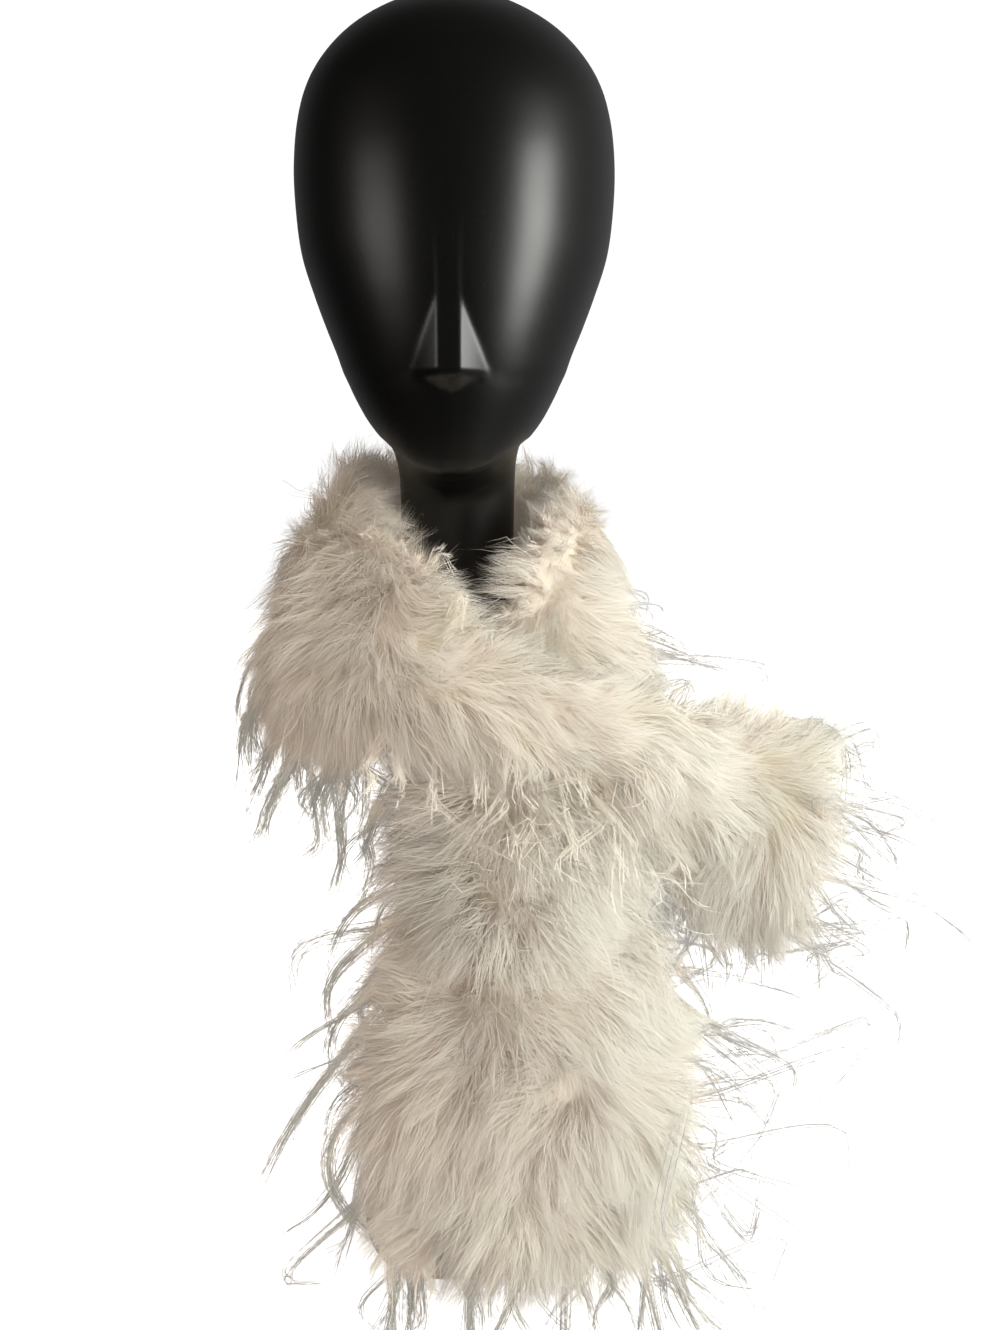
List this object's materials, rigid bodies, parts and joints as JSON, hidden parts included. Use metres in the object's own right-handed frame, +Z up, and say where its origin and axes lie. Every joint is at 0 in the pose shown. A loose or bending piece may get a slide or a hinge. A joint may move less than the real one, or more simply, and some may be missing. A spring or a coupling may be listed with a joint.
{
  "type": "feather scarf on an egg-shaped head form",
  "caption": "Long ivory feather scarf passed round the neck of a glossy black egg-shaped head form on a stand, crossed in front, its long end hanging and its short end to the side.",
  "frame": {"origin": "on the floor under the middle of the neck, on the base plate's underside", "axes": "+Z up, -Y the way the face and the crossed ends look, +X to the viewer's right in the picture"},
  "size_m": [0.3329, 0.3301, 0.6865],
  "materials": {
    "ivory_down": "matte",
    "ostrich_barbs": "matte",
    "gloss_black": "gloss",
    "black_steel": "satin"
  },
  "bodies": {
    "root": {"scarf_side_tail": "ivory_down", "scarf_left_band": "ivory_down", "scarf_back": "ivory_down", "scarf_right_band": "ivory_down", "scarf_front_tail": "ivory_down", "fringe_hem": "ostrich_barbs", "fringe_tail_left": "ostrich_barbs", "fringe_tail_right": "ostrich_barbs", "fringe_side_end": "ostrich_barbs", "fringe_left_turn": "ostrich_barbs", "fringe_crossing": "ostrich_barbs", "head_form": "gloss_black", "stand_column": "black_steel", "stand_base": "black_steel"}
  },
  "joints": []
}
